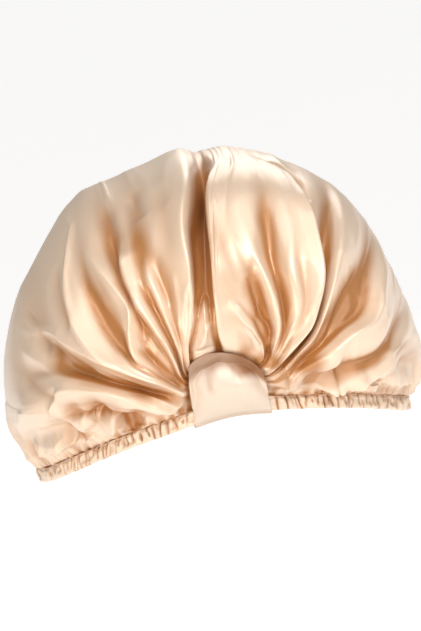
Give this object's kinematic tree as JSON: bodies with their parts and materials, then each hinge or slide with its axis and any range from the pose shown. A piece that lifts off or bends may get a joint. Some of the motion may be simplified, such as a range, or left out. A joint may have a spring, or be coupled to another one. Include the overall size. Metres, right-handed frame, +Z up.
{
  "type": "sleep bonnet",
  "caption": "Full satin sleep bonnet in its worn form: puffed crown folded in a fan from a wide front loop, above a narrow gathered elastic casing.",
  "frame": {"origin": "middle of the opening for the head, level with the lowest edge of the elastic casing", "axes": "+Z up out of the head through the crown, -Y forward through the front loop, +X towards the bonnet's left as worn"},
  "size_m": [0.2041, 0.2284, 0.1445],
  "materials": {
    "crown_satin": "champagne satin, glossy, soft sheen along the folds",
    "casing_satin": "the same satin, finely gathered over elastic",
    "loop_satin": "the same satin, folded double and drawn smooth"
  },
  "bodies": {
    "root": {"crown": "crown_satin", "elastic_casing": "casing_satin", "front_loop": "loop_satin"}
  },
  "joints": []
}
